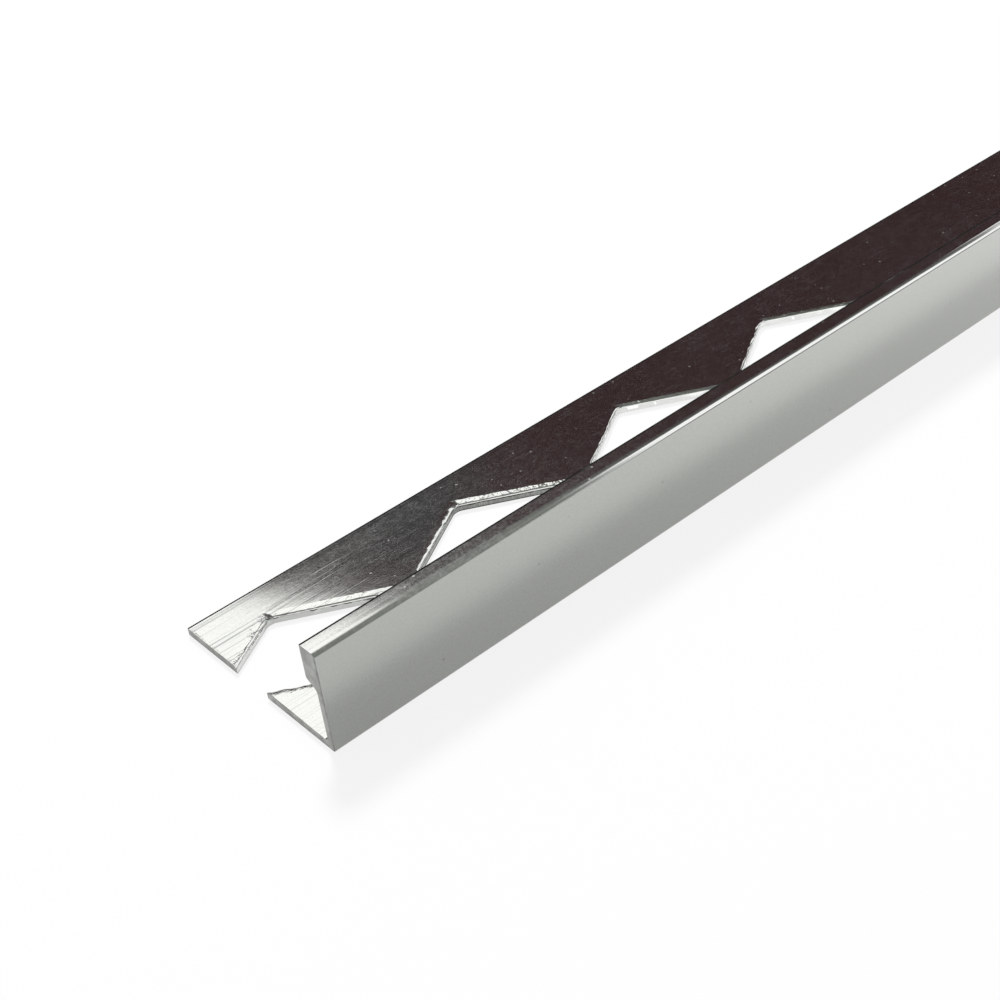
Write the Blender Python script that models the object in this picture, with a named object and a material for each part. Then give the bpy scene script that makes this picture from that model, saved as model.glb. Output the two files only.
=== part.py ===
"""Tile edge trim, square-edge type, in polished aluminium.

One extruded angle: a flat anchoring leg that is bedded under the tiles, and an upright
wall with a thick head whose outer face shows at the tile's edge. The leg is punched from
above with groups of diamond-shaped openings that the adhesive keys into. The near end
(lowest X) is sawn through the first opening, as the stock is cut to length anywhere.

The stock runs along X and lies on its leg. Y runs from the outer face of the wall to the
tip of the leg, Z is up, and the origin is at the middle of the bottom.
"""

import math

import bmesh
import bpy
from mathutils import Matrix, Vector

MM = 0.001

# Section
LENGTH = 1000.0 * MM
HEIGHT = 10.5 * MM
LEG_WIDTH = 22.0 * MM
LEG_THICKNESS = 0.8 * MM
WALL_THICKNESS = 0.85 * MM
HEAD_THICKNESS = 2.1 * MM
HEAD_DEPTH = 3.5 * MM
HEAD_SLOPE_DEG = 30.0
CROWN_REACH = 0.42 * MM
CROWN_DEPTH = 0.18 * MM
CROWN_ROUND = 2.0 * MM
FACE_ROUND = 0.05 * MM
TOP_ROUND = 0.05 * MM
OUTER_ROUND = 0.35 * MM
TIP_ROUND = 0.06 * MM
ROOT_FILLET = 0.45 * MM
STEP_FILLET = 0.5 * MM
STEP_ROUND = 0.35 * MM
ARC_STEPS = 4

# Punched openings in the leg
OPENING_LENGTH = 19.5 * MM
OPENING_WIDTH = 11.4 * MM
OPENING_CORNER = 1.1 * MM
OPENING_ROW = 11.9 * MM
PITCH = 22.0 * MM
OPENINGS_IN_GROUP = 4
PLAIN_LAND = 60.0 * MM
FIRST_OPENING = 5.8 * MM
ROLL_WIDTH = 0.3 * MM
ROLL_DEPTH = 0.2 * MM
CORNER_STEPS = 4
ROLL_STEPS = 3
CUTTER_REACH = 1.0 * MM

# Finish
FINISH_COLOUR = (0.80, 0.81, 0.79, 1.0)
FINISH_ROUGHNESS = 0.18


def clear_scene():
    """Removes whatever the file holds, so that the trim is alone in it."""
    for item in list(bpy.data.objects):
        bpy.data.objects.remove(item, do_unlink=True)


def fillet(before, corner, after, radius):
    """Returns the points that round one corner of the section with an arc."""
    to_before = (before - corner).normalized()
    to_after = (after - corner).normalized()
    half_angle = to_before.angle(to_after) / 2
    setback = radius / math.tan(half_angle)
    centre = corner + (to_before + to_after).normalized() * (radius / math.sin(half_angle))
    start = corner + to_before * setback - centre
    end = corner + to_after * setback - centre
    turn = -start.angle_signed(end) / ARC_STEPS
    return [centre + Matrix.Rotation(turn * step, 2) @ start for step in range(ARC_STEPS + 1)]


def rounded(corners):
    """Rounds each corner of the section by its own radius."""
    outline = []
    for index, (corner, radius) in enumerate(corners):
        before = corners[index - 1][0]
        after = corners[(index + 1) % len(corners)][0]
        outline += fillet(before, corner, after, radius)
    return outline


def section_outline():
    """Returns the trim's section as points in Y and Z, from the outer face and the bottom.

    The head's top is crowned towards the outer face, with a long arc that leaves it flat.
    """
    step_depth = HEAD_THICKNESS - WALL_THICKNESS
    step_drop = step_depth * math.tan(math.radians(HEAD_SLOPE_DEG))
    head_bottom = HEIGHT - HEAD_DEPTH
    corners = [
        (Vector((0.0, 0.0)), OUTER_ROUND),
        (Vector((LEG_WIDTH, 0.0)), TIP_ROUND),
        (Vector((LEG_WIDTH, LEG_THICKNESS)), TIP_ROUND),
        (Vector((WALL_THICKNESS, LEG_THICKNESS)), ROOT_FILLET),
        (Vector((WALL_THICKNESS, head_bottom - step_drop)), STEP_FILLET),
        (Vector((HEAD_THICKNESS, head_bottom)), STEP_ROUND),
        (Vector((HEAD_THICKNESS, HEIGHT)), TOP_ROUND),
        (Vector((CROWN_REACH, HEIGHT)), CROWN_ROUND),
        (Vector((0.0, HEIGHT - CROWN_DEPTH)), FACE_ROUND),
    ]
    return rounded(corners)


def extruded_stock():
    """Builds the plain stock before it is punched: the section swept along the length."""
    mesh = bmesh.new()
    offset_y = -LEG_WIDTH / 2
    ring = [mesh.verts.new((-LENGTH / 2, y + offset_y, z)) for y, z in section_outline()]
    end_face = mesh.faces.new(ring)
    swept = bmesh.ops.extrude_face_region(mesh, geom=[end_face])
    moved = [item for item in swept["geom"] if isinstance(item, bmesh.types.BMVert)]
    bmesh.ops.translate(mesh, verts=moved, vec=(LENGTH, 0.0, 0.0))
    bmesh.ops.recalc_face_normals(mesh, faces=mesh.faces)
    return mesh


def diamond_ring(grow):
    """Returns one opening's outline about its middle, pushed outwards by a distance."""
    half_length = OPENING_LENGTH / 2
    half_width = OPENING_WIDTH / 2
    edge_normal = math.atan2(half_length, half_width)
    end_centre = half_length - OPENING_CORNER / math.cos(edge_normal)
    tip_centre = half_width - OPENING_CORNER / math.sin(edge_normal)
    radius = OPENING_CORNER + grow
    corners = (
        (Vector((end_centre, 0.0)), -edge_normal, edge_normal),
        (Vector((0.0, tip_centre)), edge_normal, math.pi - edge_normal),
        (Vector((-end_centre, 0.0)), math.pi - edge_normal, math.pi + edge_normal),
        (Vector((0.0, -tip_centre)), math.pi + edge_normal, 2 * math.pi - edge_normal),
    )
    ring = []
    for centre, first, last in corners:
        for step in range(CORNER_STEPS + 1):
            angle = first + (last - first) * step / CORNER_STEPS
            ring.append(centre + radius * Vector((math.cos(angle), math.sin(angle))))
    return ring


def punch_levels():
    """Returns the punch's rings from below the leg to above it, each as a height and a growth.

    The punch comes from above and drags the top surface down with it, so the rim is rolled
    over, wider than it is deep.
    """
    levels = [(-CUTTER_REACH, 0.0)]
    for step in range(ROLL_STEPS + 1):
        turn = math.pi / 2 * step / ROLL_STEPS
        height = LEG_THICKNESS - ROLL_DEPTH * (1 - math.sin(turn))
        levels.append((height, ROLL_WIDTH * (1 - math.cos(turn))))
    levels.append((LEG_THICKNESS + CUTTER_REACH, ROLL_WIDTH))
    return levels


def add_punch(mesh, centre_x):
    """Adds one punch to the cutter's mesh, as rings that are joined by walls."""
    centre_y = OPENING_ROW - LEG_WIDTH / 2
    rings = []
    for height, grow in punch_levels():
        ring = [mesh.verts.new((centre_x + x, centre_y + y, height)) for x, y in diamond_ring(grow)]
        rings.append(ring)
    mesh.faces.new(list(reversed(rings[0])))
    mesh.faces.new(rings[-1])
    for lower, upper in zip(rings, rings[1:]):
        for index, vert in enumerate(lower):
            following = (index + 1) % len(lower)
            mesh.faces.new((vert, lower[following], upper[following], upper[index]))


def opening_centres():
    """Returns where the openings stand along X: groups of a few, with plain land between."""
    centres = []
    group_start = FIRST_OPENING
    last_allowed = LENGTH - OPENING_LENGTH
    while group_start < last_allowed:
        group = [group_start + PITCH * index for index in range(OPENINGS_IN_GROUP)]
        centres += [centre - LENGTH / 2 for centre in group if centre < last_allowed]
        group_start = group[-1] + OPENING_LENGTH + PLAIN_LAND
    return centres


def make_object(name, mesh):
    """Turns a finished bmesh into a named object in the scene."""
    data = bpy.data.meshes.new(name)
    mesh.to_mesh(data)
    mesh.free()
    item = bpy.data.objects.new(name, data)
    bpy.context.scene.collection.objects.link(item)
    return item


def punch_cutter():
    """Builds the row of punches, which stays hidden."""
    mesh = bmesh.new()
    for centre_x in opening_centres():
        add_punch(mesh, centre_x)
    cutter = make_object("leg_punches", mesh)
    cutter.hide_render = True
    cutter.display_type = 'WIRE'
    return cutter


def polished_aluminium():
    """Makes the trim's finish: bright polished and anodised aluminium."""
    finish = bpy.data.materials.new("polished_aluminium")
    finish.use_nodes = True
    shader = finish.node_tree.nodes["Principled BSDF"]
    shader.inputs["Base Color"].default_value = FINISH_COLOUR
    shader.inputs["Metallic"].default_value = 1.0
    shader.inputs["Roughness"].default_value = FINISH_ROUGHNESS
    return finish


def build_trim():
    """Builds the trim: the extruded stock, punched by the row of openings."""
    trim = make_object("edge_trim", extruded_stock())
    trim.data.materials.append(polished_aluminium())
    punching = trim.modifiers.new("punched_openings", 'BOOLEAN')
    punching.operation = 'DIFFERENCE'
    punching.solver = 'EXACT'
    punching.object = punch_cutter()


clear_scene()
build_trim()
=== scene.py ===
"""Looks of a punched tile edge trim in bright polished aluminium, lying on a pale studio floor.

The trim is one extruded length. Its anchoring leg and the top of its head are polished like a
mirror, the outer face is satin, and the leg is punched with diamond-shaped openings whose rims
the punch has rolled over. The camera looks down along the length from the sawn near end.
"""

import logging
import math
from dataclasses import dataclass, field
from enum import Enum, IntEnum
from functools import cached_property, reduce

import bmesh
import bpy
from mathutils import Euler, Matrix, Vector, noise


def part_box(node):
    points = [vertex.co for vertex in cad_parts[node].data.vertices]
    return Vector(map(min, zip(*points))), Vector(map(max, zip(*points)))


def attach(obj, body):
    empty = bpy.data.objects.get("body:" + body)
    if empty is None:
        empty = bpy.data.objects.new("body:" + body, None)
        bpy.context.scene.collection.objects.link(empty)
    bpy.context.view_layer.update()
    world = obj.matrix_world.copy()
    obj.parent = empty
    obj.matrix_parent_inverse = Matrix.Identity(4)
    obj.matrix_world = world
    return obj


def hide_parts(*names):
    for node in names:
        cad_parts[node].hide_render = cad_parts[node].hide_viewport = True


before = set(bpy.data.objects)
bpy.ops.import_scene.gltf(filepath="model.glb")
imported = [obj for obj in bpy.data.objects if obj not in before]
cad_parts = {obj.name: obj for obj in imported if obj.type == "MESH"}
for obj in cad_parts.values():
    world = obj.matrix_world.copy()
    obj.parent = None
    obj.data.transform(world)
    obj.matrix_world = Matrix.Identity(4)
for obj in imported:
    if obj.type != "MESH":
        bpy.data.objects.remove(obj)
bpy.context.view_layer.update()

MM = 0.001
NODE = "edge_trim"

log = logging.getLogger("edge_trim_scene")

Colour = tuple[float, float, float]
Span = tuple[float, float]


class Zone(IntEnum):
    """The trim's surfaces that differ in finish, as material slots of its mesh."""

    POLISHED = 0
    FACE = 1
    SAWN = 2
    PUNCHED = 3
    UNDERSIDE = 4
    EDGE = 5


class Ray(Enum):
    """The rays that a studio card can answer."""

    GLOSSY = "visible_glossy"
    CAMERA = "visible_camera"
    DIFFUSE = "visible_diffuse"
    TRANSMISSION = "visible_transmission"
    SHADOW = "visible_shadow"


# Shape


@dataclass(frozen=True)
class Section:
    """The extrusion's section, in metres, from the wall's outer face and the underside."""

    leg_thickness: float = 0.8 * MM
    wall_thickness: float = 0.85 * MM
    head_thickness: float = 2.1 * MM
    head_depth: float = 3.5 * MM
    head_slope: float = math.radians(30.0)
    crown_reach: float = 0.42 * MM
    crown_depth: float = 0.18 * MM
    crown_round: float = 2.0 * MM
    face_round: float = 0.05 * MM
    top_round: float = 0.05 * MM
    edge_width: float = 0.23 * MM
    edge_drop: float = 0.015 * MM
    edge_bend: float = 0.1 * MM
    outer_round: float = 0.35 * MM
    tip_round: float = 0.06 * MM
    root_fillet: float = 0.45 * MM
    step_fillet: float = 0.5 * MM
    step_round: float = 0.35 * MM
    arc_segments: int = 8

    def face(self, mesh: bmesh.types.BMesh, start: Vector, size: Vector) -> bmesh.types.BMFace:
        """Draws the section as one face across the stock, with the crown and the bends of the narrow edges,
        which are painted dark.

        Args:
            mesh: The mesh that the face is made in.
            start: The lowest corner of the stock, where the section begins.
            size: The stock's length, width and height.

        Returns:
            The section's face.
        """
        _, width, height = size
        drop = (self.head_thickness - self.wall_thickness) * math.tan(self.head_slope)
        head_bottom = height - self.head_depth
        corners = [
            (0.0, 0.0, self.outer_round),
            (width, 0.0, self.tip_round),
            (width, self.leg_thickness - self.edge_drop, self.tip_round),
            (width - self.edge_width, self.leg_thickness, self.edge_bend),
            (self.wall_thickness, self.leg_thickness, self.root_fillet),
            (self.wall_thickness, head_bottom - drop, self.step_fillet),
            (self.head_thickness, head_bottom, self.step_round),
            (self.head_thickness, height - self.edge_drop, self.top_round),
            (self.head_thickness - self.edge_width, height, self.edge_bend),
            (self.crown_reach, height, self.crown_round),
            (0.0, height - self.crown_depth, self.face_round),
        ]
        ring = [start + Vector((0.0, y, z)) for y, z, _ in corners]
        verts = [mesh.verts.new(point) for point in ring]
        mesh.faces.new(verts)
        for index, (vert, (_, _, radius)) in enumerate(zip(verts, corners)):
            before, here, after = ring[index - 1], ring[index], ring[(index + 1) % len(ring)]
            half_angle = (before - here).angle(after - here) / 2
            self.round_vert(mesh, vert, radius / math.tan(half_angle), self.arc_segments)
        return mesh.faces[:][0]

    @staticmethod
    def round_vert(mesh: bmesh.types.BMesh, vert: bmesh.types.BMVert, setback: float, segments: int) -> None:
        """Rounds one corner of a flat face.

        Args:
            mesh: The mesh that holds the face.
            vert: The corner.
            setback: How far from the corner the arc begins, along both sides.
            segments: How many straight pieces stand for the arc.
        """
        bmesh.ops.bevel(
            mesh, geom=[vert], offset=setback, offset_type='OFFSET', segments=segments,
            profile=0.5, affect='VERTICES', material=-1,
        )


@dataclass(frozen=True)
class Openings:
    """The punched diamond openings: their outline, their rolled rim and their row."""

    length: float = 19.5 * MM
    width: float = 11.4 * MM
    corner: float = 1.1 * MM
    row: float = 11.9 * MM
    pitch: float = 22.0 * MM
    in_group: int = 4
    plain_land: float = 60.0 * MM
    first: float = 5.8 * MM
    roll_width: float = 0.3 * MM
    roll_depth: float = 0.2 * MM
    roll_turn: float = math.radians(45.0)
    roll_steps: int = 6
    roll_shares: tuple[float, ...] = (1.0, 1.2, 0.45, 0.4)
    far_share: float = 0.3
    side_cuts: int = 36
    corner_segments: int = 6
    raggedness: float = 0.26 * MM
    ragged_grain: float = 1100.0
    reach: float = 1.0 * MM
    weld: float = 0.0001 * MM

    @property
    def period(self) -> float:
        """The distance from one group's first opening to the next group's."""
        return self.pitch * (self.in_group - 1) + self.length + self.plain_land

    def centres(self, length: float) -> list[float]:
        """Finds the openings' places along the stock.

        Args:
            length: The stock's length.

        Returns:
            Each opening's distance from the near end.
        """
        places = []
        group_start = self.first
        last_allowed = length - self.length
        while group_start < last_allowed:
            group = [group_start + self.pitch * index for index in range(self.in_group)]
            places += [place for place in group if place < last_allowed]
            group_start += self.period
        return places

    def outline(self, mesh: bmesh.types.BMesh, height: float) -> bmesh.types.BMFace:
        """Draws one opening's outline as a face, with points along its sides.

        Args:
            mesh: The mesh that the face is made in.
            height: The face's height.

        Returns:
            The face, which looks down.
        """
        bmesh.ops.create_circle(mesh, cap_ends=True, segments=4, radius=1.0)
        half = Vector((self.length / 2, self.width / 2, 1.0))
        bmesh.ops.scale(mesh, verts=mesh.verts, vec=half)
        lean = math.atan2(half.x, half.y)
        for vert in list(mesh.verts):
            slope = lean if abs(vert.co.y) > abs(vert.co.x) else math.pi / 2 - lean
            setback = self.corner / math.tan(slope)
            Section.round_vert(mesh, vert, setback, self.corner_segments)
        sides = [edge for edge in mesh.edges if edge.calc_length() > self.width / 4]
        bmesh.ops.delete(mesh, geom=mesh.faces[:], context='FACES_ONLY')
        bmesh.ops.subdivide_edges(mesh, edges=sides, cuts=self.side_cuts)
        made = bmesh.ops.contextual_create(mesh, geom=mesh.edges[:])
        bmesh.ops.translate(mesh, verts=mesh.verts, vec=(0.0, 0.0, height))
        return made["faces"][0]

    def punch(self, leg_thickness: float) -> bmesh.types.BMesh:
        """Builds one punch about the origin, with the roll that it presses into the rim.

        The roll starts with a crease in the flat surface, and grows steeper towards the opening.

        Args:
            leg_thickness: The thickness of the leg that it goes through.

        Returns:
            The punch as a closed mesh.
        """
        mesh = bmesh.new()
        cap = self.outline(mesh, -self.reach)
        if cap.normal.z < 0:
            bmesh.ops.reverse_faces(mesh, faces=[cap])
        foot = bmesh.ops.duplicate(mesh, geom=[cap])["geom"]
        bmesh.ops.reverse_faces(mesh, faces=[item for item in foot if isinstance(item, bmesh.types.BMFace)])
        rises = [(leg_thickness - self.roll_depth + self.reach, 0.0)]
        for step in range(self.roll_steps):
            before, after = (self.roll_turn * (step + more) / self.roll_steps for more in (0, 1))
            rise = self.roll_depth * (math.sin(after) - math.sin(before)) / math.sin(self.roll_turn)
            grow = self.roll_width * (math.cos(before) - math.cos(after)) / (1 - math.cos(self.roll_turn))
            rises.append((rise, grow))
        rises.append((self.reach, 0.0))
        for rise, grow in rises:
            bmesh.ops.inset_individual(mesh, faces=[cap], thickness=-grow, depth=rise, use_even_offset=True)
        bmesh.ops.remove_doubles(mesh, verts=mesh.verts, dist=self.weld)
        bmesh.ops.recalc_face_normals(mesh, faces=mesh.faces)
        return mesh

    def cutter(self, start: Vector, length: float, leg_thickness: float) -> bpy.types.Object:
        """Builds the whole row of punches, each with a rim that is ragged in its own way.

        Args:
            start: The stock's lowest corner.
            length: The stock's length.
            leg_thickness: The leg's thickness.

        Returns:
            The row as an object.
        """
        mesh = self.punch(leg_thickness)
        first = mesh.verts[:] + mesh.edges[:] + mesh.faces[:]
        row = Vector((start.x, start.y + self.row, start.z))
        places = [row + Vector((place, 0.0, 0.0)) for place in self.centres(length)]
        for index, place in reversed(list(enumerate(places))):
            punch = bmesh.ops.duplicate(mesh, geom=first)["geom"] if index else first
            verts = [item for item in punch if isinstance(item, bmesh.types.BMVert)]
            self.roughen(verts, leg_thickness, place, self.roll_shares[index % self.in_group])
        return new_object("punches", mesh)

    def roughen(
        self, verts: list[bmesh.types.BMVert], leg_thickness: float, place: Vector, roll_share: float
    ) -> None:
        """Moves one punch to its place and makes the top of its roll ragged.

        Args:
            verts: The punch's points, about the origin.
            leg_thickness: The leg's thickness.
            place: Where the opening's middle lies.
            roll_share: How much of the roll's full width this punch presses on its near half.
        """
        lip = leg_thickness - self.roll_depth
        for vert in verts:
            outwards = Vector((vert.co.x, vert.co.y, 0.0)).normalized()
            share = min(1.0, max(0.0, (vert.co.z - lip) / self.roll_depth))
            narrower = self.roll_width * (1 - (self.far_share if vert.co.x > 0 else roll_share))
            vert.co += place
            grain = noise.noise(vert.co * self.ragged_grain)
            if vert.co.x > place.x:
                grain *= self.far_share
            vert.co += outwards * ((self.raggedness * grain - narrower) * share)


def new_object(name: str, mesh: bmesh.types.BMesh) -> bpy.types.Object:
    """Turns a finished bmesh into an object in the scene.

    Args:
        name: The object's name.
        mesh: The bmesh, which is freed.

    Returns:
        The object.
    """
    data = bpy.data.meshes.new(name)
    mesh.to_mesh(data)
    mesh.free()
    item = bpy.data.objects.new(name, data)
    bpy.context.scene.collection.objects.link(item)
    return item


@dataclass
class EdgeTrim:
    """The whole trim, built again round the solid with finer arcs and ragged rims."""

    low: Vector
    high: Vector
    section: Section = field(default_factory=Section)
    openings: Openings = field(default_factory=Openings)
    saw_bevel: float = 0.04 * MM
    sharp_angle: float = math.radians(40.0)

    @property
    def size(self) -> Vector:
        """The stock's length, width and height."""
        return self.high - self.low

    def build(self, finishes: list[bpy.types.Material]) -> bpy.types.Object:
        """Builds the trim and dresses each of its zones.

        Args:
            finishes: A material for each zone, in the order of the zones.

        Returns:
            The finished piece.
        """
        trim = new_object("trim_length", self.stock())
        cutter = self.openings.cutter(self.low, self.size.x, self.section.leg_thickness)
        punching = {"operation": 'DIFFERENCE', "solver": 'EXACT', "object": cutter}
        apply_modifier(trim, "punched_openings", 'BOOLEAN', **punching)
        bpy.data.objects.remove(cutter, do_unlink=True)
        for finish in finishes:
            trim.data.materials.append(finish)
        for face in trim.data.polygons:
            face.material_index = self.zone(face.center, face.normal)
        trim.data.shade_smooth()
        trim.data.set_sharp_from_angle(angle=self.sharp_angle)
        apply_modifier(trim, "flat_faces_hold", 'WEIGHTED_NORMAL', keep_sharp=True)
        return trim

    def stock(self) -> bmesh.types.BMesh:
        """Sweeps the section along the length and eases the sawn edges.

        Returns:
            The plain stock.
        """
        mesh = bmesh.new()
        face = self.section.face(mesh, self.low, self.size)
        swept = bmesh.ops.extrude_face_region(mesh, geom=[face])
        moved = [item for item in swept["geom"] if isinstance(item, bmesh.types.BMVert)]
        bmesh.ops.translate(mesh, verts=moved, vec=(self.size.x, 0.0, 0.0))
        bmesh.ops.recalc_face_normals(mesh, faces=mesh.faces)
        sawn = [edge for edge in mesh.edges if edge.calc_length() < self.size.x / 2]
        bmesh.ops.bevel(
            mesh, geom=sawn, offset=self.saw_bevel, offset_type='OFFSET', segments=2,
            profile=0.5, affect='EDGES', material=-1, clamp_overlap=False,
        )
        return mesh

    def zone(self, centre: Vector, normal: Vector) -> Zone:
        """Tells which finish a face has.

        Args:
            centre: The face's middle.
            normal: The face's direction.

        Returns:
            The face's zone.
        """
        steep = 0.9
        shape = self.section
        lip = self.low.z + shape.leg_thickness - self.openings.roll_depth
        face_top = self.high.z - shape.crown_depth - shape.face_round
        head_inside = self.low.y + shape.head_thickness
        on_head = centre.z > self.high.z - shape.edge_drop - shape.top_round
        if abs(normal.x) > steep and abs(centre.x) > self.high.x - self.saw_bevel / 2:
            return Zone.SAWN
        if normal.z < -steep:
            return Zone.UNDERSIDE
        if centre.y < self.low.y + shape.outer_round and normal.y < 0 and centre.z < face_top:
            return Zone.FACE
        if centre.y > (head_inside if on_head else self.high.y) - shape.edge_width:
            return Zone.EDGE
        if centre.y < self.low.y + shape.face_round / 4 and centre.z > face_top:
            return Zone.EDGE
        if head_inside < centre.y and abs(normal.z) < 1 - steep and centre.z < lip:
            return Zone.PUNCHED
        return Zone.POLISHED


def apply_modifier(item: bpy.types.Object, name: str, kind: str, **settings: object) -> None:
    """Replaces an object's mesh by what a modifier makes of it.

    Args:
        item: The object.
        name: The modifier's name.
        kind: Its type.
        settings: Its own properties.
    """
    modifier = item.modifiers.new(name, kind)
    for key, value in settings.items():
        setattr(modifier, key, value)
    evaluated = item.evaluated_get(bpy.context.evaluated_depsgraph_get())
    baked = bpy.data.meshes.new_from_object(evaluated)
    old = item.data
    item.modifiers.clear()
    item.data = baked
    bpy.data.meshes.remove(old)
    baked.name = item.name


# Node building

Socket = bpy.types.NodeSocket
Outputs = bpy.types.bpy_prop_collection
Input = Socket | float | Vector | tuple
Inputs = dict[str | int, Input]


class Graph:
    """Builds one node tree: adds nodes and feeds their sockets with values or links."""

    def __init__(self, tree: bpy.types.NodeTree) -> None:
        """Empties the node tree that it builds in."""
        tree.nodes.clear()
        self.tree = tree

    def add(self, kind: str, inputs: Inputs | None = None, **settings: object) -> bpy.types.Node:
        """Adds a node.

        Args:
            kind: The node's type.
            inputs: What feeds its sockets, by name or number.
            settings: The node's own properties.

        Returns:
            The node.
        """
        node = self.tree.nodes.new(kind)
        for name, value in settings.items():
            setattr(node, name, value)
        for key, value in (inputs or {}).items():
            self.feed(node.inputs[key], value)
        return node

    def feed(self, socket: Socket, value: Input) -> None:
        """Feeds a socket with a link or with a fixed value.

        Args:
            socket: The socket.
            value: Another node's output, or the value itself.
        """
        if isinstance(value, Socket):
            self.tree.links.new(value, socket)
        elif socket.type == 'RGBA':
            socket.default_value = (*value, 1.0)
        else:
            socket.default_value = value

    def math(self, operation: str, *values: Input, clamp: bool = False) -> Socket:
        """Adds a Math node, which can keep its result between 0 and 1."""
        inputs = dict(enumerate(values))
        return self.add('ShaderNodeMath', inputs, operation=operation, use_clamp=clamp).outputs[0]

    def product(self, *values: Input) -> Socket:
        """Multiplies values."""
        return reduce(lambda first, second: self.math('MULTIPLY', first, second), values)

    def total(self, *values: Input) -> Socket:
        """Adds values up."""
        return reduce(lambda first, second: self.math('ADD', first, second), values)

    def less(self, value: Input, taken: Input) -> Socket:
        """Takes the second value from the first."""
        return self.math('SUBTRACT', value, taken)

    def fade(self, value: Input, start: float, end: float, low: float = 0.0, high: float = 1.0) -> Socket:
        """Fades smoothly from a low to a high result, while a value goes from a start to an end."""
        inputs = {"Value": value, "From Min": start, "From Max": end, "To Min": low, "To Max": high}
        return self.add('ShaderNodeMapRange', inputs, interpolation_type='SMOOTHSTEP').outputs[0]

    def between(self, share: Input, low: Input, high: Input) -> Socket:
        """Picks a value between two, by a share from 0 to 1."""
        return self.add('ShaderNodeMapRange', {"Value": share, "To Min": low, "To Max": high}).outputs[0]

    def mix(self, share: Input, first: Input, second: Input) -> Socket:
        """Mixes two colours, by the second one's share."""
        return self.add('ShaderNodeMix', {0: share, 6: first, 7: second}, data_type='RGBA').outputs[2]

    def tinted(self, colour: Colour, shade: Input) -> Socket:
        """Makes a colour lighter or darker."""
        return self.add('ShaderNodeVectorMath', {0: colour, "Scale": shade}, operation='SCALE').outputs[0]

    def axes(self, vector: Input) -> Outputs:
        """Takes coordinates apart into X, Y and Z."""
        return self.add('ShaderNodeSeparateXYZ', {0: vector}).outputs

    def turn(self, vector: Input, angle: float) -> Socket:
        """Turns coordinates about the vertical."""
        inputs = {"Vector": vector, "Angle": angle}
        return self.add('ShaderNodeVectorRotate', inputs, rotation_type='Z_AXIS').outputs[0]

    def stretch(self, vector: Input, scale: tuple[float, float, float]) -> Socket:
        """Stretches coordinates, by how many cells there are in a metre each way."""
        return self.add('ShaderNodeMapping', {"Vector": vector, "Scale": scale}).outputs[0]

    def noise(self, vector: Input, scale: Input, detail: float = 2.0, roughness: float = 0.5) -> Socket:
        """Adds a noise about 0.5, with so many finer layers, each so rough."""
        inputs = {"Vector": vector, "Scale": scale, "Detail": detail, "Roughness": roughness}
        return self.add('ShaderNodeTexNoise', inputs).outputs[0]

    def cells(self, vector: Input, scale: Input) -> tuple[Socket, Outputs]:
        """Scatters points, and gives the nearest one's distance and its three random numbers."""
        cell = self.add('ShaderNodeTexVoronoi', {0: vector, "Scale": scale}, voronoi_dimensions='2D').outputs
        return cell["Distance"], self.add('ShaderNodeSeparateColor', {0: cell["Color"]}).outputs


class GroupMaker(Graph):
    """Builds a shader node group with named inputs and outputs."""

    def __init__(self, name: str, inputs: list[str], outputs: list[str]) -> None:
        """Makes the group and its sockets, coordinates first.

        Args:
            name: The group's name.
            inputs: The other inputs' names.
            outputs: The outputs' names.
        """
        super().__init__(bpy.data.node_groups.new(name, 'ShaderNodeTree'))
        self.tree.interface.new_socket("Vector", in_out='INPUT', socket_type='NodeSocketVector')
        for label in inputs:
            self.tree.interface.new_socket(label, in_out='INPUT', socket_type='NodeSocketFloat')
        for label in outputs:
            self.tree.interface.new_socket(label, in_out='OUTPUT', socket_type='NodeSocketFloat')
        self.inputs = self.add('NodeGroupInput').outputs
        self.end = self.add('NodeGroupOutput')

    def put_out(self, label: str, value: Socket) -> None:
        """Sends a value to one of the group's outputs."""
        self.feed(self.end.inputs[label], value)

    def unrolled(self) -> Socket:
        """Lays the section's sides out flat: along the stock, and round the section."""
        x, y, z = self.axes(self.inputs["Vector"])
        return self.add('ShaderNodeCombineXYZ', {0: x, 1: self.total(y, z)}).outputs[0]


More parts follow.
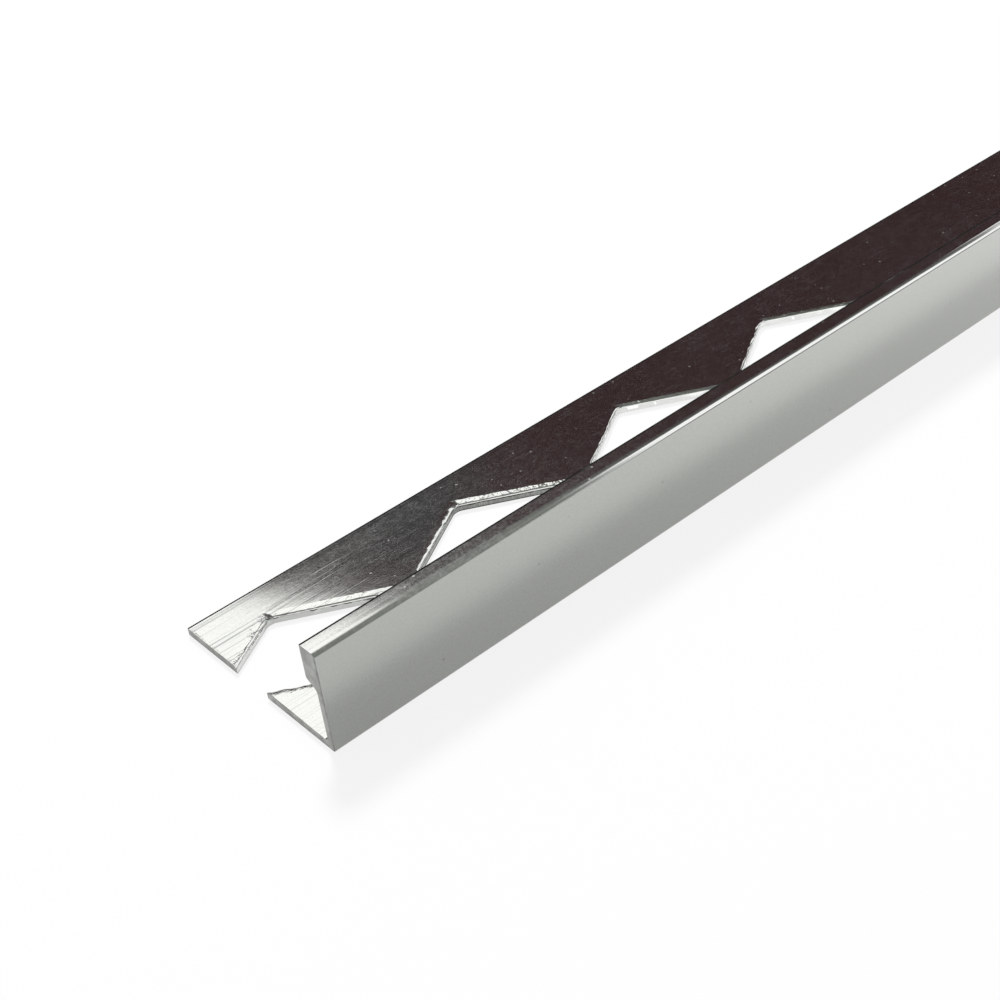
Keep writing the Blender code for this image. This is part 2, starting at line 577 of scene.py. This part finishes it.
@dataclass
class Effects:
    """The node groups that the finishes share, and the stock's corners that they start from.

    Each scratch run has its turn in degrees, and its cells in a metre along it and across.
    """

    openings: Openings
    low: Vector
    high: Vector
    line_cells: float = 32.0
    scratch_runs: tuple[tuple[float, float, float], ...] = (
        (4.0, 110.0, 4200.0), (-16.0, 260.0, 5000.0), (33.0, 320.0, 4700.0),
        (-47.0, 360.0, 5000.0), (71.0, 330.0, 4500.0),
    )

    @cached_property
    def drawn_lines(self) -> GroupMaker:
        """The fine lines that the die leaves: a height about 0.5, and the share of the coarser lines."""
        maker = GroupMaker("drawn_lines", ["Lines"], ["Height", "Coarse"])
        across = maker.inputs["Lines"]
        scale = maker.add('ShaderNodeCombineXYZ', {0: self.line_cells, 1: across, 2: across}).outputs[0]
        vectors = {0: maker.inputs["Vector"], 1: scale}
        spread = maker.add('ShaderNodeVectorMath', vectors, operation='MULTIPLY').outputs[0]
        maker.put_out("Height", maker.noise(spread, 1.0, 3.0))
        maker.put_out("Coarse", maker.noise(spread, 0.3))
        return maker

    @cached_property
    def scratches(self) -> GroupMaker:
        """Short scratches in several directions, from stretched cells, with a mask that is 1 in a scratch."""
        maker = GroupMaker("scratches", ["Amount", "Thickness"], ["Mask"])
        flat = maker.unrolled()
        mask: Input = 0.0
        for turn_deg, along, across in self.scratch_runs:
            run = maker.stretch(maker.turn(flat, math.radians(turn_deg)), (along, across, 1.0))
            distance, chances = maker.cells(run, 1.0)
            near = maker.math('LESS_THAN', distance, maker.inputs["Thickness"])
            kept = maker.math('LESS_THAN', chances[0], maker.inputs["Amount"])
            mask = maker.math('MAXIMUM', mask, maker.product(near, kept))
        maker.put_out("Mask", mask)
        return maker

    @cached_property
    def specks(self) -> GroupMaker:
        """Small round specks, of dust or of pits, with a mask that is 1 in a speck's middle."""
        maker = GroupMaker("specks", ["Scale", "Amount", "Radius"], ["Mask"])
        distance, chances = maker.cells(maker.unrolled(), maker.inputs["Scale"])
        radius = maker.product(maker.inputs["Radius"], maker.total(chances[1], 0.3))
        inside = maker.math('SUBTRACT', 1.0, maker.math('DIVIDE', distance, radius), clamp=True)
        kept = maker.math('LESS_THAN', chances[0], maker.inputs["Amount"])
        maker.put_out("Mask", maker.product(inside, kept))
        return maker

    @cached_property
    def rim(self) -> GroupMaker:
        """The distance from the nearest opening's side, below 0 in the opening, and 1 beside its far half."""
        shape = self.openings
        maker = GroupMaker("rim_distance", [], ["Distance", "Far side"])
        x, y, _ = maker.axes(maker.inputs["Vector"])
        along = maker.less(x, self.low.x + shape.first - shape.pitch / 2)
        in_group = maker.math('FLOORED_MODULO', along, shape.period)
        number = maker.math('FLOOR', maker.math('DIVIDE', in_group, shape.pitch))
        number = maker.math('MINIMUM', number, shape.in_group - 1.0)
        offset = maker.less(in_group, maker.product(maker.total(number, 0.5), shape.pitch))
        maker.put_out("Far side", maker.fade(offset, -0.1 * MM, 0.5 * MM))
        lean = math.atan2(shape.length, shape.width)
        lengthwise = maker.product(maker.math('ABSOLUTE', offset), math.cos(lean))
        crosswise = maker.math('ABSOLUTE', maker.less(y, self.low.y + shape.row))
        reach = maker.total(lengthwise, maker.product(crosswise, math.sin(lean)))
        maker.put_out("Distance", maker.less(reach, shape.length / 2 * math.cos(lean)))
        return maker


# Finishes

HEAD_RISE: Span = (1.0 * MM, 4.0 * MM)
OUTER_PART: Span = (11.0 * MM, 17.0 * MM)


class Surface(Graph):
    """A material's graph, with its shader and the place of each point on the stock."""

    def __init__(self, tree: bpy.types.NodeTree, finish: "Finish", effects: Effects) -> None:
        """Adds the shader and the coordinates.

        Args:
            tree: The material's node tree.
            finish: The finish, whose colour and roughness the shader starts with.
            effects: The shared node groups.
        """
        super().__init__(tree)
        self.effects = effects
        inputs = {"Metallic": 1.0, "Base Color": finish.colour, "Roughness": finish.roughness}
        self.shader = self.add('ShaderNodeBsdfPrincipled', inputs)
        self.add('ShaderNodeOutputMaterial', {"Surface": self.shader.outputs[0]})
        self.vector = self.add('ShaderNodeTexCoord').outputs["Object"]
        self.along, self.inwards, self.height = (
            self.less(axis, corner) for axis, corner in zip(self.axes(self.vector), effects.low)
        )

    def show(self, socket: str, value: Input) -> None:
        """Feeds one of the shader's sockets."""
        self.feed(self.shader.inputs[socket], value)

    def effect(self, maker: GroupMaker, **inputs: Input) -> Outputs:
        """Places a shared group on the surface's coordinates, and gives its outputs."""
        return self.add('ShaderNodeGroup', {"Vector": self.vector, **inputs}, node_tree=maker.tree).outputs

    def bump(self, height: Input, distance: float) -> None:
        """Raises the surface by a height, as a share of a distance."""
        inputs = {"Height": height, "Distance": distance}
        self.show("Normal", self.add('ShaderNodeBump', inputs).outputs[0])

    @cached_property
    def on_leg(self) -> Socket:
        """The leg, which has more wear than the head."""
        return self.fade(self.height, *HEAD_RISE, 1.0, 0.6)

    @cached_property
    def on_head(self) -> Socket:
        """1 on the head, and 0 on the leg."""
        return self.fade(self.height, *HEAD_RISE)

    @cached_property
    def outer(self) -> Socket:
        """The leg's outer part, which has more wear than the part near the wall."""
        return self.fade(self.inwards, *OUTER_PART, 0.35, 1.0)

    @cached_property
    def rim(self) -> Outputs:
        """The distance from the nearest opening, and 1 beside its far half."""
        return self.effect(self.effects.rim)


@dataclass(frozen=True)
class Finish:
    """A metal finish: its colour and how rough it is, before its pattern."""

    name: str
    colour: Colour
    roughness: float

    def material(self, effects: Effects) -> bpy.types.Material:
        """Builds the material.

        Args:
            effects: The shared node groups.

        Returns:
            The material.
        """
        material = bpy.data.materials.new(self.name)
        material.use_nodes = True
        self.dress(Surface(material.node_tree, self, effects))
        return material

    def dress(self, on: Surface) -> None:
        """Adds the finish's own pattern to a surface."""
        raise NotImplementedError


@dataclass(frozen=True)
class PolishedFinish(Finish):
    """The mirror polish of the leg and the head, with haze, lines, scratches and dust."""

    name: str = "polished_aluminium"
    colour: Colour = (0.89, 0.9, 0.88)
    roughness: float = 0.06
    hazy_roughness: float = 0.1
    rolled_roughness: float = 0.1
    dulled_colour: Colour = (0.7, 0.71, 0.7)
    streak_colour: Colour = (0.29, 0.315, 0.315)
    handled_length: float = 46.0 * MM
    lines_per_metre: float = 3600.0
    veil: float = 0.09
    head_veil: float = 1.9
    scratch_share: float = 0.18
    streak_share: float = 0.8
    drawn_depth: float = 0.001 * MM
    coarse_depth: float = 0.0022 * MM
    groove_depth: float = 0.001 * MM
    mottle_depth: float = 0.0006 * MM
    crumple_depth: float = 0.035 * MM
    crumpled_zone: float = 1.2 * MM
    rolled_zone: float = 0.95 * MM
    sunk_depth: float = 0.035 * MM
    sunk_wander: float = 0.25 * MM
    head_haze: float = 0.02
    head_wave: float = 0.8 * MM
    wave_start: float = 1.4 * MM
    wave_depth: float = 0.00115 * MM
    ramp_zone: float = 0.5 * MM
    near_ramp_zone: float = 0.8 * MM
    ramp_slope: float = math.tan(math.radians(10.0))
    ramp_span: Span = (24.0 * MM, 44.0 * MM)
    rolled_span: Span = (0.1 * MM, 0.4 * MM)
    head_haze_span: Span = (10.0 * MM, 40.0 * MM)
    veil_gain_span: Span = (3.0 * MM, 11.0 * MM)
    veil_loss_span: Span = (14.0 * MM, 26.0 * MM)
    first_side_span: Span = (5.0 * MM, 6.5 * MM)
    sawn_side_span: Span = (0.1 * MM, 0.35 * MM)
    crumple_span: Span = (10.0 * MM, 45.0 * MM)

    def dress(self, on: Surface) -> None:
        """Adds the wear, which is strongest at the near end, and the relief.

        Args:
            on: The surface.
        """
        lines = on.effect(on.effects.drawn_lines, Lines=self.lines_per_metre)
        mottle = on.noise(on.vector, 4200.0, 3.0, 0.6)
        handled = on.fade(on.along, 0.0, self.handled_length, 1.0, 0.12)
        patches = on.noise(on.stretch(on.vector, (60.0, 160.0, 160.0)), 1.0, 3.0, 0.6)
        worn = on.product(handled, on.fade(patches, 0.3, 0.65, 0.55, 1.0))
        dulled = self.dulled(on, worn)
        streaks = on.fade(lines["Height"], 0.5, 0.64, 0.0, self.streak_share)
        streaks = on.product(streaks, on.outer, worn, on.on_leg)
        metal = on.mix(streaks, self.colour, self.streak_colour)
        on.show("Base Color", on.mix(dulled, metal, self.dulled_colour))
        on.show("Metallic", on.less(1.0, dulled))
        rough = on.between(on.product(worn, on.fade(mottle, 0.35, 0.7)), self.roughness, self.hazy_roughness)
        rolled = on.fade(on.rim["Distance"], *self.rolled_span, 1.0, 0.0)
        near_head = on.product(on.on_head, on.fade(on.along, *self.head_haze_span, 1.0, 0.2))
        rough = on.between(rolled, rough, self.rolled_roughness)
        on.show("Roughness", on.total(rough, on.product(near_head, self.head_haze)))
        relief = on.total(self.drawn(on, lines), self.waved(on), on.product(mottle, self.mottle_depth / MM))
        on.bump(on.total(on.less(relief, self.sunk(on)), self.crumpled(on)), MM)

    def dulled(self, on: Surface, worn: Socket) -> Socket:
        """Finds how much a veil, scratches and dust take from the shine.

        Args:
            on: The surface.
            worn: How worn it is.

        Returns:
            The share that is dull.
        """
        cloud = on.noise(on.stretch(on.vector, (900.0, 1300.0, 1300.0)), 1.0, 4.0, 0.62)
        cloud = on.fade(cloud, 0.3, 0.7, 0.55, 1.4)
        grain = on.fade(on.noise(on.vector, 3600.0, 1.0), 0.35, 0.65, 0.6, 1.4)
        gain = on.fade(on.along, *self.veil_gain_span, 0.3, 1.0)
        loss = on.fade(on.along, *self.veil_loss_span, 1.0, 0.6)
        more = on.between(on.on_head, 1.0, on.product(gain, loss, self.head_veil))
        veil = on.product(cloud, worn, self.veil, grain, more)
        scratches = on.effect(on.effects.scratches, Amount=0.3, Thickness=0.1)[0]
        dust = on.effect(on.effects.specks, Scale=700.0, Amount=0.16, Radius=0.1)[0]
        marks = on.total(on.product(scratches, on.on_leg, self.scratch_share), dust)
        return on.math('ADD', veil, on.product(marks, on.total(worn, 0.17)), clamp=True)

    def drawn(self, on: Surface, lines: Outputs) -> Socket:
        """Finds the relief of the drawn lines and grooves.

        Args:
            on: The surface.
            lines: The drawn lines' outputs.

        Returns:
            The height, in millimetres.
        """
        fine = on.product(lines["Height"], self.drawn_depth / MM)
        coarse = on.product(lines["Coarse"], self.coarse_depth / MM)
        grooves = on.noise(on.stretch(on.vector, (110.0, 3200.0, 3200.0)), 1.0, 1.0)
        grooves = on.fade(grooves, 0.6, 0.7, 0.0, self.groove_depth / MM)
        return on.product(on.less(on.total(fine, coarse), grooves), on.on_leg)

    def waved(self, on: Surface) -> Socket:
        """Finds the long waves that polishing leaves along the head's top, in millimetres."""
        turns = on.product(on.less(on.inwards, self.wave_start), math.tau / self.head_wave)
        return on.product(on.math('SINE', turns), self.wave_depth / MM, on.on_head)

    def sunk(self, on: Surface) -> Socket:
        """Finds how far the punch has dragged the surface down round an opening.

        It sinks in a slow curve beside the near half, and in a straight ramp beside the far half.

        Args:
            on: The surface.

        Returns:
            The depth, in millimetres, which grows towards the opening.
        """
        wander = on.product(on.less(on.noise(on.vector, 1300.0, 2.0, 0.6), 0.5), self.sunk_wander)
        edge = on.total(on.rim["Distance"], wander)
        near = on.math('SUBTRACT', 1.0, on.math('DIVIDE', edge, self.rolled_zone), clamp=True)
        curve = on.product(near, near, self.sunk_depth / MM, on.less(1.0, on.rim["Far side"]))
        reach = on.fade(on.along, *self.ramp_span, self.near_ramp_zone, self.ramp_zone)
        ramp = on.product(on.math('MAXIMUM', on.less(reach, edge), 0.0), self.ramp_slope / MM)
        return on.total(curve, on.product(ramp, on.rim["Far side"]))

    def crumpled(self, on: Surface) -> Socket:
        """Finds the small dents beside the cuts, where the tools have bitten the polish.

        Args:
            on: The surface.

        Returns:
            The dents' height, in millimetres.
        """
        first_side = on.fade(on.along, *self.first_side_span, 1.0, 0.5)
        rims = on.product(on.fade(on.rim["Distance"], 0.15 * MM, self.crumpled_zone, 1.0, 0.0), first_side)
        beside = on.math('MAXIMUM', rims, on.fade(on.along, *self.sawn_side_span, 0.6, 0.0))
        patchy = on.fade(on.noise(on.vector, 800.0, 1.0), 0.42, 0.56)
        near = on.fade(on.along, *self.crumple_span, 1.0, 0.2)
        dents = on.product(on.less(on.noise(on.vector, 3200.0, 2.0, 0.6), 0.5), self.crumple_depth / MM)
        return on.product(dents, near, on.outer, beside, patchy, on.on_leg)


@dataclass(frozen=True)
class SatinFinish(Finish):
    """The fine satin of the outer face, which shows once the tiles are laid."""

    name: str = "satin_aluminium_face"
    colour: Colour = (0.41, 0.421, 0.4)
    roughness: float = 0.22
    lines_per_metre: float = 2600.0
    clear_layer: float = 1.0
    shade_line_depth: float = 0.32 * MM
    shade_line_share: float = 0.8
    shade_line_span: Span = (30.0 * MM, 50.0 * MM)
    pit_share: float = 0.35
    relief: float = 0.004 * MM

    def dress(self, on: Surface) -> None:
        """Adds grain, pits, drawn lines and a painted shade line just below the top, towards the far end.

        Args:
            on: The surface.
        """
        lines = on.effect(on.effects.drawn_lines, Lines=self.lines_per_metre)[0]
        pits = on.effect(on.effects.specks, Scale=260.0, Amount=0.14, Radius=0.05)[0]
        grain = on.noise(on.vector, 5200.0, 2.0, 0.6)
        below_top = on.less(on.effects.high.z - on.effects.low.z, on.height)
        # Painted shade: worn here is a dark line painted just below the face's top, fading in towards the far
        # end.
        worn = on.fade(below_top, self.shade_line_depth * 0.7, self.shade_line_depth, self.shade_line_share, 0.0)
        worn = on.product(worn, on.fade(on.along, *self.shade_line_span))
        clean = on.less(1.0, on.product(pits, self.pit_share))
        shade = on.product(on.fade(grain, 0.2, 0.8, 0.93, 1.04), clean, on.less(1.0, worn))
        on.show("Base Color", on.tinted(self.colour, shade))
        on.show("Roughness", on.fade(grain, 0.2, 0.8, self.roughness - 0.03, self.roughness + 0.05))
        on.bump(on.less(on.total(on.product(lines, 0.3), on.product(grain, 0.5)), pits), self.relief)
        on.show("Coat Weight", self.clear_layer)
        on.show("Coat Roughness", self.roughness)


@dataclass(frozen=True)
class SawnFinish(Finish):
    """The sawn end, with fine saw marks across the section."""

    name: str = "sawn_aluminium"
    colour: Colour = (0.345, 0.352, 0.335)
    roughness: float = 0.42
    burred_width: float = 0.35 * MM
    relief: float = 0.012 * MM

    def dress(self, on: Surface) -> None:
        """Adds the saw marks, and the darker burr along the outer face.

        Args:
            on: The surface.
        """
        marks = on.noise(on.stretch(on.vector, (600.0, 500.0, 9000.0)), 1.0, 3.0, 0.6)
        cloud = on.noise(on.vector, 900.0, 3.0, 0.6)
        burr = on.fade(on.inwards, self.burred_width / 2, self.burred_width, 0.68, 1.0)
        shade = on.product(on.fade(marks, 0.25, 0.75, 0.85, 1.12), on.fade(cloud, 0.3, 0.7, 0.8, 1.18), burr)
        on.show("Base Color", on.tinted(self.colour, shade))
        on.bump(marks, self.relief)


@dataclass(frozen=True)
class PunchedFinish(Finish):
    """The openings' walls: dull where the punch sheared them, bright where they broke away."""

    name: str = "punched_aluminium"
    colour: Colour = (0.42, 0.435, 0.41)
    roughness: float = 0.35
    bright_roughness: float = 0.12
    marked_colour: Colour = (0.26, 0.268, 0.255)
    painted_shade_colour: Colour = (0.05, 0.05, 0.047)
    broken_colour: Colour = (0.75, 0.76, 0.74)
    bright_colour: Colour = (0.95, 0.955, 0.945)
    broken_height: float = 0.42 * MM
    broken_blur: float = 0.06 * MM
    lip_height: float = 0.49 * MM
    lip_blur: float = 0.03 * MM
    wander: float = 0.25 * MM
    relief: float = 0.02 * MM
    foot_span: Span = (0.09 * MM, 0.13 * MM)
    first_span: Span = (12.0 * MM, 16.0 * MM)
    later_span: Span = (36.0 * MM, 42.0 * MM)

    def dress(self, on: Surface) -> None:
        """Adds the sheared and the broken bands, a painted shade line under the rim and a painted shadow line
        at the foot.

        They differ from opening to opening.

        Args:
            on: The surface.
        """
        marks = on.noise(on.stretch(on.vector, (7000.0, 7000.0, 500.0)), 1.0, 2.0, 0.6)
        level = on.total(on.height, on.product(on.less(on.noise(on.vector, 1800.0), 0.5), self.wander))
        first = on.fade(on.along, *self.first_span, 1.0, 0.0)
        later = on.fade(on.along, *self.later_span)
        deeper = on.total(level, on.fade(on.along, *self.first_span, -0.15 * MM, self.broken_height * 0.8))
        blur = self.broken_blur
        sheared = on.fade(deeper, self.broken_height - blur, self.broken_height + blur)
        sheared = on.product(sheared, on.less(1.0, later))
        dull = on.mix(on.fade(marks, 0.3, 0.7), self.marked_colour, self.colour)
        tone = on.mix(sheared, on.mix(later, self.broken_colour, self.bright_colour), dull)
        plain = on.math('MAXIMUM', first, later)
        # Painted shade: a dark dashed line in the gap under the rolled rim.
        lip = on.fade(level, self.lip_height - self.lip_blur, self.lip_height + self.lip_blur)
        dashes = on.between(plain, 1.0, on.fade(on.noise(on.vector, 1400.0, 1.0), 0.5, 0.55))
        lip = on.product(lip, dashes, on.less(1.0, on.product(later, on.rim["Far side"])))
        # Painted shadow: a dark line along the wall's foot, left out for the first and the later openings.
        foot = on.math('SUBTRACT', on.fade(on.height, *self.foot_span, 0.9, 0.0), plain, clamp=True)
        dark = on.math('MAXIMUM', lip, foot)
        on.show("Base Color", on.mix(dark, tone, self.painted_shade_colour))
        on.show("Roughness", on.between(later, self.roughness, self.bright_roughness))
        on.bump(marks, self.relief)


@dataclass(frozen=True)
class EdgeFinish(Finish):
    """The narrow long edges, painted near black as a painted dark reflection."""

    name: str = "edge_painted_dark_reflection"
    colour: Colour = (0.016, 0.018, 0.016)
    roughness: float = 0.5
    lighter_patch_colour: Colour = (0.07, 0.073, 0.07)
    painted_light_colour: Colour = (0.3, 0.305, 0.295)
    face_span: Span = (0.05 * MM, 0.1 * MM)
    near_span: Span = (25.0 * MM, 45.0 * MM)

    def dress(self, on: Surface) -> None:
        """Paints the edges near black as a painted dark reflection, lighter in random patches, and paints light
        on the outer face's edge by the near end.

        Args:
            on: The surface.
        """
        # Painted dark reflection: the near-black colour stands in for dark reflections; this noise only makes
        # lighter random patches in it.
        worn = on.noise(on.stretch(on.vector, (350.0, 1500.0, 1500.0)), 1.0, 3.0, 0.6)
        tone = on.mix(on.fade(worn, 0.55, 0.8), self.colour, self.lighter_patch_colour)
        # Painted light: the outer face's edge is made pale by the near end.
        on_face = on.fade(on.inwards, *self.face_span, 1.0, 0.0)
        near = on.fade(on.along, *self.near_span, 1.0, 0.0)
        on.show("Base Color", on.mix(on.product(on_face, near), tone, self.painted_light_colour))
        on.show("Metallic", 0.0)
        on.show("Specular IOR Level", 0.0)


@dataclass(frozen=True)
class MillFinish(Finish):
    """The plain mill finish of the underside."""

    name: str = "mill_aluminium_underside"
    colour: Colour = (0.66, 0.665, 0.65)
    roughness: float = 0.3
    line_colour: Colour = (0.52, 0.525, 0.51)
    lines_per_metre: float = 1800.0
    relief: float = 0.008 * MM

    def dress(self, on: Surface) -> None:
        """Adds coarse drawn lines and scratches.

        Args:
            on: The surface.
        """
        lines = on.effect(on.effects.drawn_lines, Lines=self.lines_per_metre)
        scratches = on.effect(on.effects.scratches, Amount=0.4, Thickness=0.06)[0]
        on.show("Base Color", on.mix(on.fade(lines["Height"], 0.3, 0.7), self.line_colour, self.colour))
        on.show("Roughness", on.fade(lines["Coarse"], 0.3, 0.7, 0.24, 0.4))
        on.bump(on.less(on.product(lines["Height"], 0.4), scratches), self.relief)


FINISHES = (PolishedFinish, SatinFinish, SawnFinish, PunchedFinish, MillFinish, EdgeFinish)


# Studio

WHITE = (1.0, 1.0, 1.0)


@dataclass(frozen=True)
class Card:
    """A flat card round the trim that only its reflections see.

    Its sides are how far it reaches to the left and the right of the point that is nearest to the
    target, as seen from there, and its ends how far it reaches down and up.
    """

    name: str
    radiance: Colour
    azimuth: float
    elevation: float
    sides: Span
    ends: Span
    distance: float = 2.0
    soft: float = 0.05
    see_through: bool = False

    def place(self, target: Vector) -> None:
        """Hangs the card, so that its plane faces the target.

        Args:
            target: The point that the card's plane faces.
        """
        spread = [(self.sides[1] - self.sides[0]) / 2, (self.ends[1] - self.ends[0]) / 2]
        middle = Vector((sum(self.sides) / 2, sum(self.ends) / 2, 0.0))
        mesh = bmesh.new()
        bmesh.ops.create_grid(mesh, x_segments=1, y_segments=1, size=1.0)
        bmesh.ops.scale(mesh, verts=mesh.verts, vec=(*spread, 1.0))
        card = new_object(self.name, mesh)
        turn = (math.radians(90.0 + self.elevation), 0.0, math.radians(self.azimuth - 90.0))
        facing = Euler(turn).to_matrix()
        away = facing @ Vector((0.0, 0.0, -self.distance))
        card.matrix_world = Matrix.Translation(target + away + facing @ middle) @ facing.to_4x4()
        card.data.materials.append(self.material(spread))
        for ray in Ray:
            setattr(card, ray.value, ray is Ray.GLOSSY)

    def material(self, spread: list[float]) -> bpy.types.Material:
        """Makes the card's colour, which fades out at its border.

        Args:
            spread: Half the card's width and height, in metres.

        Returns:
            The material.
        """
        material = bpy.data.materials.new(self.name)
        material.use_nodes = True
        graph = Graph(material.node_tree)
        place = graph.axes(graph.add('ShaderNodeTexCoord').outputs["Object"])
        inside: Input = 1.0
        for axis, half in zip(place, spread):
            border = graph.fade(graph.math('ABSOLUTE', axis), half - self.soft, half, 1.0, 0.0)
            inside = graph.product(inside, border)
        clear = graph.add('ShaderNodeBsdfTransparent').outputs[0]
        strength = inside if self.see_through else 1.0
        glow = graph.add('ShaderNodeEmission', {"Color": self.radiance, "Strength": strength}).outputs[0]
        if self.see_through:
            shown = graph.add('ShaderNodeAddShader', {0: clear, 1: glow})
        else:
            shown = graph.add('ShaderNodeMixShader', {0: inside, 1: clear, 2: glow})
        graph.add('ShaderNodeOutputMaterial', {"Surface": shown.outputs[0]})
        return material


@dataclass(frozen=True)
class Studio:
    """The pale floor, the white surroundings, the key light and the cards."""

    target: Vector
    floor_size: float = 8.0
    floor_gap: float = 0.1 * MM
    floor_colour: Colour = (0.94, 0.94, 0.935)
    floor_glow: float = 0.84
    floor_sheen: float = 0.45
    fill: float = 0.42
    key_direction: tuple[float, float, float] = (0.3, 0.48, 0.85)
    key_distance: float = 0.8
    key_size: float = 0.17
    key_power: float = 4.9
    cards: tuple[Card, ...] = (
        Card("dark_wall_card", (0.035, 0.018, 0.0195), 31.0, 0.0, (-3.6, 0.2), (0.0, 1.822), soft=0.03),
        Card("dark_wall_end_card", (0.0, 0.017, 0.016), 31.0, 0.0, (-3.6, -0.7), (0.0, 1.82), 1.99, 0.25, True),
        Card("window_card", (1.1, 1.1, 1.075), 68.0, 50.0, (-1.6, 1.6), (-1.1, 1.3), 3.2, 0.2),
        Card("ceiling_card", (0.152, 0.16, 0.145), 0.0, 90.0, (-0.96, 2.4), (-1.48, 2.4), soft=0.2),
        Card("ceiling_side_card", (0.128, 0.131, 0.122), -11.3, 90.0, (-2.3, -0.95), (-2.3, -0.74), 1.98, 0.08),
        Card("ceiling_far_card", (0.055, 0.05, 0.047), 0.0, 90.0, (-2.1, -0.64), (-2.8, -1.2), 1.97, 0.4),
        Card(
            "floor_sheen_card", (0.32, 0.32, 0.315), 90.0, -90.0, (-0.03, 0.9), (-0.5, 0.35),
            distance=0.05 * MM, soft=0.2, see_through=True,
        ),
        Card("front_card", (0.17, 0.175, 0.165), -80.0, 0.0, (-1.2, 3.0), (0.0, 3.4), soft=0.3),
        Card("side_low_card", (0.13, 0.13, 0.12), -12.0, 0.0, (-1.6, 1.6), (0.0, 1.02), soft=0.12),
    )

    def build(self) -> None:
        """Sets up everything round the trim."""
        self.floor()
        self.surroundings()
        self.key()
        for card in self.cards:
            card.place(self.target)
        log.info("studio: floor, white surroundings, key light and %d cards", len(self.cards))

    def floor(self) -> None:
        """Lays the floor, which takes the trim's shadow and is otherwise white."""
        mesh = bmesh.new()
        bmesh.ops.create_grid(mesh, x_segments=1, y_segments=1, size=self.floor_size / 2)
        floor = new_object("studio_floor", mesh)
        floor.location = (0.0, 0.0, -self.floor_gap)
        material = bpy.data.materials.new("studio_floor")
        material.use_nodes = True
        graph = Graph(material.node_tree)
        paint = graph.add('ShaderNodeBsdfDiffuse', {"Color": self.floor_colour})
        glow = graph.add('ShaderNodeEmission', {"Color": WHITE})
        rays = graph.add('ShaderNodeLightPath').outputs
        seen = graph.math('ADD', rays["Is Camera Ray"], rays["Is Transmission Ray"], clamp=True)
        sheen = graph.product(rays["Is Glossy Ray"], self.floor_sheen)
        share = graph.math('ADD', graph.product(seen, self.floor_glow), sheen, clamp=True)
        mixed = graph.add('ShaderNodeMixShader', {0: share, 1: paint.outputs[0], 2: glow.outputs[0]})
        graph.add('ShaderNodeOutputMaterial', {"Surface": mixed.outputs[0]})
        floor.data.materials.append(material)

    def surroundings(self) -> None:
        """Makes the world white to the camera and to reflections, and a soft fill otherwise."""
        world = bpy.data.worlds.new("studio_white")
        world.use_nodes = True
        graph = Graph(world.node_tree)
        rays = graph.add('ShaderNodeLightPath').outputs
        seen = graph.math('ADD', rays["Is Camera Ray"], rays["Is Glossy Ray"], clamp=True)
        seen = graph.math('ADD', seen, rays["Is Transmission Ray"], clamp=True)
        strength = graph.between(seen, self.fill, 1.0)
        white = graph.add('ShaderNodeBackground', {"Color": WHITE, "Strength": strength})
        graph.add('ShaderNodeOutputWorld', {"Surface": white.outputs[0]})
        bpy.context.scene.world = world

    def key(self) -> None:
        """Hangs the large key light behind the trim, so that a soft shadow falls in front."""
        data = bpy.data.lights.new("key_light", 'AREA')
        data.shape = 'DISK'
        data.size = self.key_size
        data.energy = self.key_power
        light = bpy.data.objects.new("key_light", data)
        away = Vector(self.key_direction).normalized()
        light.location = self.target + away * self.key_distance
        light.rotation_euler = away.to_track_quat('Z', 'Y').to_euler()
        light.visible_glossy = False
        bpy.context.scene.collection.objects.link(light)


@dataclass(frozen=True)
class Viewpoint:
    """The camera, placed from the corner where the wall's outer face meets the near end."""

    offset: tuple[float, float, float] = (-46.58 * MM, -87.013 * MM, 93.235 * MM)
    angles: tuple[float, float, float] = (53.978, 5.952, -41.679)
    lens: float = 59.41
    sensor: float = 36.0
    clip_start: float = 0.01

    def build(self, corner: Vector) -> None:
        """Places the camera.

        Args:
            corner: The stock's lowest corner.
        """
        data = bpy.data.cameras.new("camera")
        data.lens = self.lens
        data.sensor_width = self.sensor
        data.clip_start = self.clip_start
        camera = bpy.data.objects.new("camera", data)
        camera.location = corner + Vector(self.offset)
        camera.rotation_euler = Euler([math.radians(angle) for angle in self.angles], 'XYZ')
        bpy.context.scene.collection.objects.link(camera)
        bpy.context.scene.camera = camera
        log.info("camera: %.2f mm lens", self.lens)


def main() -> None:
    """Builds the camera, the studio and the trim, in that order."""
    logging.basicConfig(level=logging.INFO, format="%(name)s: %(message)s")
    bpy.context.scene.view_settings.view_transform = 'Standard'
    low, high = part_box(NODE)
    Viewpoint().build(low)
    Studio(target=Vector((low.x, 0.0, 0.0))).build()
    trim = EdgeTrim(low, high)
    effects = Effects(trim.openings, low, high)
    piece = trim.build([FINISHES[zone]().material(effects) for zone in Zone])
    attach(piece, "root")
    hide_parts(NODE)
    log.info("%s: %d faces in %d zones", piece.name, len(piece.data.polygons), len(Zone))


if __name__ == "__main__":
    main()
